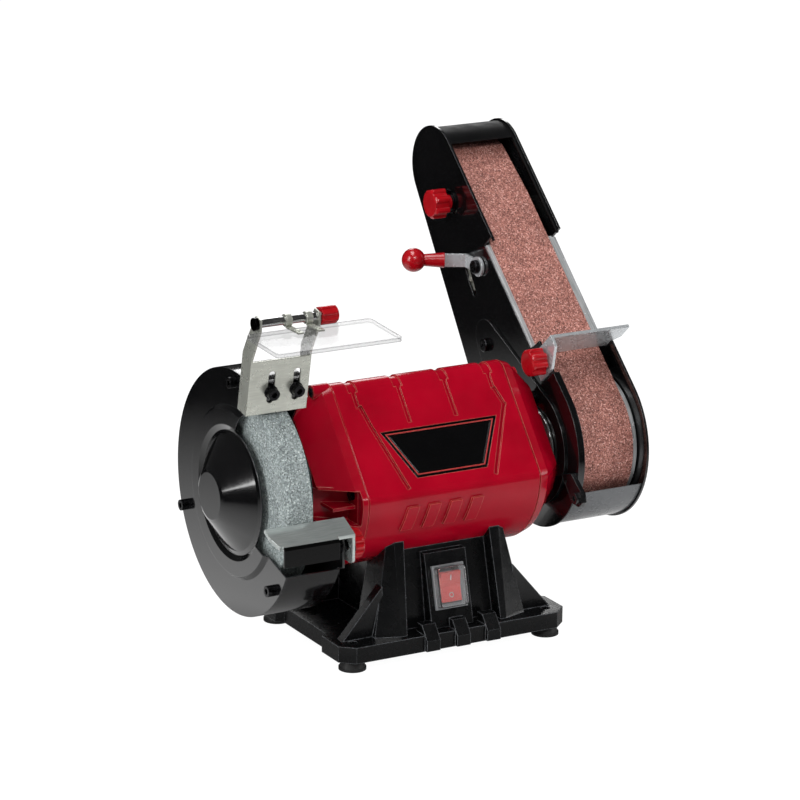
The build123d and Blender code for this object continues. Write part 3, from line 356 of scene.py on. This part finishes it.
def plate_on(name, node, loops, place, thick_mm, body, material):
    """A thin plate or frame that lies on a CAD node's surface.

    loops are closed outlines in millimetres in the plane of place: one outline, or an outer and
    an inner one with as many points each. Each point is dropped onto the node along -Z of place.
    """
    tree = tree_of(node)
    down = -(place.to_3x3() @ Vector((0, 0, 1)))
    bm = bmesh.new()
    rings = []
    for loop in loops:
        low, high = [], []
        for x, y in loop:
            start = place @ Vector((x * MM, y * MM, PROBE_FROM))
            hit = tree.ray_cast(start, down, PROBE_REACH)[0]
            low.append(bm.verts.new(hit + down * SINK_MM * MM))
            high.append(bm.verts.new(hit - down * thick_mm * MM))
        rings.append((low, high))
    for low, high in rings:
        for i in range(len(low)):
            j = (i + 1) % len(low)
            bm.faces.new((low[i], low[j], high[j], high[i]))
    if len(rings) == 1:
        bm.faces.new(rings[0][1])
        bm.faces.new(list(reversed(rings[0][0])))
    else:
        (low_a, high_a), (low_b, high_b) = rings
        for i in range(len(low_a)):
            j = (i + 1) % len(low_a)
            bm.faces.new((high_a[i], high_a[j], high_b[j], high_b[i]))
            bm.faces.new((low_a[j], low_a[i], low_b[i], low_b[j]))
    bmesh.ops.recalc_face_normals(bm, faces=bm.faces)
    mesh = bpy.data.meshes.new(name)
    bm.to_mesh(mesh)
    bm.free()
    made = bpy.data.objects.new(name, mesh)
    bpy.context.scene.collection.objects.link(made)
    mesh.materials.append(material)
    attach(made, body)


def inset(points, gap):
    """A convex outline moved inwards by gap, drawn either way round."""
    area = sum(a[0] * b[1] - b[0] * a[1] for a, b in zip(points, points[1:] + points[:1]))
    side = 1.0 if area > 0 else -1.0
    lines = []
    for a, b in zip(points, points[1:] + points[:1]):
        a, b = Vector(a), Vector(b)
        along = (b - a).normalized()
        normal = Vector((-along.y, along.x)) * side
        lines.append((a + normal * gap, along))
    out = []
    for (p, d), (q, e) in zip(lines[-1:] + lines[:-1], lines):
        cross = d.x * e.y - d.y * e.x
        t = ((q.x - p.x) * e.y - (q.y - p.y) * e.x) / cross
        out.append(tuple(p + d * t))
    return out


def circle(y, radius, count=24):
    """Closed round outline about a point on the plane's Y axis."""
    steps = [2 * math.pi * k / count for k in range(count)]
    return [(radius * math.cos(turn), y + radius * math.sin(turn)) for turn in steps]


# --- badge border, on the slanted front face -----------------------------
FACE_RISE, FACE_RUN = 76.0, 63.5        # the slanted face, from the shaft's height up to the ridge, mm
BADGE = [(-44.5, 50.0), (51.0, 50.0), (30.0, 12.0), (-27.5, 12.0)]
BORDER_OUT, BORDER_IN, BORDER_THICK = 2.0, 2.9, 0.25
face_lean = Matrix.Rotation(math.atan2(FACE_RISE, FACE_RUN), 4, "X")
slant = Matrix.Translation((0, -FACE_RUN * MM, AXIS_H)) @ face_lean
plate_on("badge_border", "badge_plate", [inset(BADGE, BORDER_OUT), inset(BADGE, BORDER_IN)],
         slant, BORDER_THICK, "root", SLOT_MATERIALS["red_paint"])


# --- on and off marks, on the rocker --------------------------------------
PANEL_LEAN = math.radians(75.5)         # slope of the switch panel above level
MARK_THICK = 0.12
ON_BAR = [(-0.4, 4.4), (0.4, 4.4), (0.4, 8.2), (-0.4, 8.2)]
OFF_Y, OFF_OUT, OFF_IN = -6.3, 1.9, 1.3
MARK_WHITE = plastic("mark_white", (0.70, 0.70, 0.68), (0.80, 0.80, 0.78), 0.35, 0.01)
switch_axis = Vector(next(j["pos_m"] for j in frame["joints"] if j["name"] == "switch_press"))
panel = Matrix.Translation(switch_axis) @ Matrix.Rotation(PANEL_LEAN, 4, "X")
for mark, loops in (("mark_on", [ON_BAR]), ("mark_off", [circle(OFF_Y, OFF_OUT), circle(OFF_Y, OFF_IN)])):
    plate_on(mark, "switch_rocker", loops, panel, MARK_THICK, "rocker", MARK_WHITE)


# --- stage, light and camera ---------------------------------------------
FLOOR_RADIUS, FLOOR_SIDES = 12.0, 12
SEEN_TONE, SEEN_GLOW = 0.1, 0.98        # the floor to the camera: its lit tone and its own glow
FLOOR_GLOW = ((0.14, 0.14), (0.23, 0.46), (0.51, 0.19), (0.72, 0.004))  # metres from the middle, and tone
AMBIENT, MIRRORED = 0.30, 0.04          # studio brightness for matt and for glossy surfaces
LIGHT_AIM = Vector((0.0, 0.0, 0.15))
LIGHTS = (                              # name, place, width and height, power in watts
    ("key_left", (-2.0, -0.35, 1.0), (0.55, 1.4), 27),
    ("key_front", (-0.5, -2.1, 1.9), (1.1, 0.5), 24),
    ("fill_right", (1.9, -1.1, 0.8), (0.4, 1.5), 15),
    ("top", (-0.3, 0.15, 2.1), (1.5, 0.7), 26),
    ("rim_back", (1.0, 1.8, 1.2), (1.0, 0.8), 12),
)
LENS_MM, SENSOR_MM = 173.3, 36.0
LENS_SHIFT = (-0.016, 0.038)
EYE = (-1.31565, -2.31328, 0.95419)
EYE_RIGHT = Vector((0.87095, -0.49122, 0.01185))
EYE_UP = Vector((0.13224, 0.25754, 0.95718))
EYE_BACK = Vector((-0.47324, -0.83209, 0.28927))


def stage():
    """A wide pale floor, near white to the camera; in reflections its glow fades outwards."""
    bm = bmesh.new()
    for side in range(FLOOR_SIDES):
        turn = 2 * math.pi * side / FLOOR_SIDES
        bm.verts.new((FLOOR_RADIUS * math.cos(turn), FLOOR_RADIUS * math.sin(turn), 0.0))
    bm.faces.new(bm.verts)
    mesh = bpy.data.meshes.new("stage_floor")
    bm.to_mesh(mesh)
    bm.free()
    m = Mat("stage_floor", rough=0.9, Specular_IOR_Level=0.0)
    pale = m.ramp(m.noise(400, 2.0), (0.3, 0.84), (0.7, 0.86))
    away = m.new("ShaderNodeVectorMath", operation="LENGTH")
    m.link(m.coord, away.inputs[0])
    glow = m.ramp(away.outputs["Value"], *FLOOR_GLOW)
    rays = m.new("ShaderNodeLightPath").outputs
    m.colour(m.mix(rays["Is Camera Ray"], m.mix(rays["Is Glossy Ray"], pale, glow), SEEN_TONE))
    seen = m.ramp(rays["Is Camera Ray"], (0.0, 0.0), (1.0, SEEN_GLOW))
    m.link(m.mix(rays["Is Glossy Ray"], seen, glow), m.bsdf.inputs["Emission Color"])
    m.bsdf.inputs["Emission Strength"].default_value = 1.0
    mesh.materials.append(m.mat)
    made = bpy.data.objects.new("stage_floor", mesh)
    bpy.context.scene.collection.objects.link(made)


def softbox(name, where, size, power):
    """A rectangular light turned to the machine."""
    data = bpy.data.lights.new(name, "AREA")
    data.shape = "RECTANGLE"
    data.size, data.size_y = size
    data.energy = power
    made = bpy.data.objects.new(name, data)
    made.location = where
    made.rotation_euler = (Vector(where) - LIGHT_AIM).to_track_quat("Z", "Y").to_euler()
    bpy.context.scene.collection.objects.link(made)


def studio():
    """A world that is white to the camera and through clear pieces, dimmer in light and in reflections."""
    world = bpy.data.worlds.new("studio")
    world.use_nodes = True
    tree = world.node_tree

    def maths(operation, *values):
        """A maths node fed by sockets and numbers."""
        node = tree.nodes.new("ShaderNodeMath")
        node.operation = operation
        for socket, value in zip(node.inputs, values):
            if isinstance(value, float):
                socket.default_value = value
            else:
                tree.links.new(value, socket)
        return node.outputs["Value"]

    rays = tree.nodes.new("ShaderNodeLightPath").outputs
    seen = maths("MAXIMUM", rays["Is Camera Ray"], rays["Is Transmission Ray"])
    lit = maths("MULTIPLY_ADD", seen, 1.0 - AMBIENT, AMBIENT)
    level = maths("MULTIPLY_ADD", rays["Is Glossy Ray"], MIRRORED - AMBIENT, lit)
    background = tree.nodes["Background"]
    tree.links.new(level, background.inputs["Strength"])
    background.inputs["Color"].default_value = (1.0, 1.0, 1.0, 1.0)
    bpy.context.scene.world = world


def place_camera():
    """The one camera, from the machine's front left and above."""
    data = bpy.data.cameras.new("camera")
    data.lens = LENS_MM
    data.sensor_width = SENSOR_MM
    data.shift_x, data.shift_y = LENS_SHIFT
    data.clip_start, data.clip_end = 0.05, 100.0
    camera = bpy.data.objects.new("camera", data)
    turn = Matrix((EYE_RIGHT, EYE_UP, EYE_BACK)).transposed().to_4x4()
    camera.matrix_world = Matrix.Translation(EYE) @ turn
    bpy.context.scene.collection.objects.link(camera)
    bpy.context.scene.camera = camera
    bpy.context.scene.view_settings.view_transform = "Standard"


stage()
for light in LIGHTS:
    softbox(*light)
studio()
place_camera()
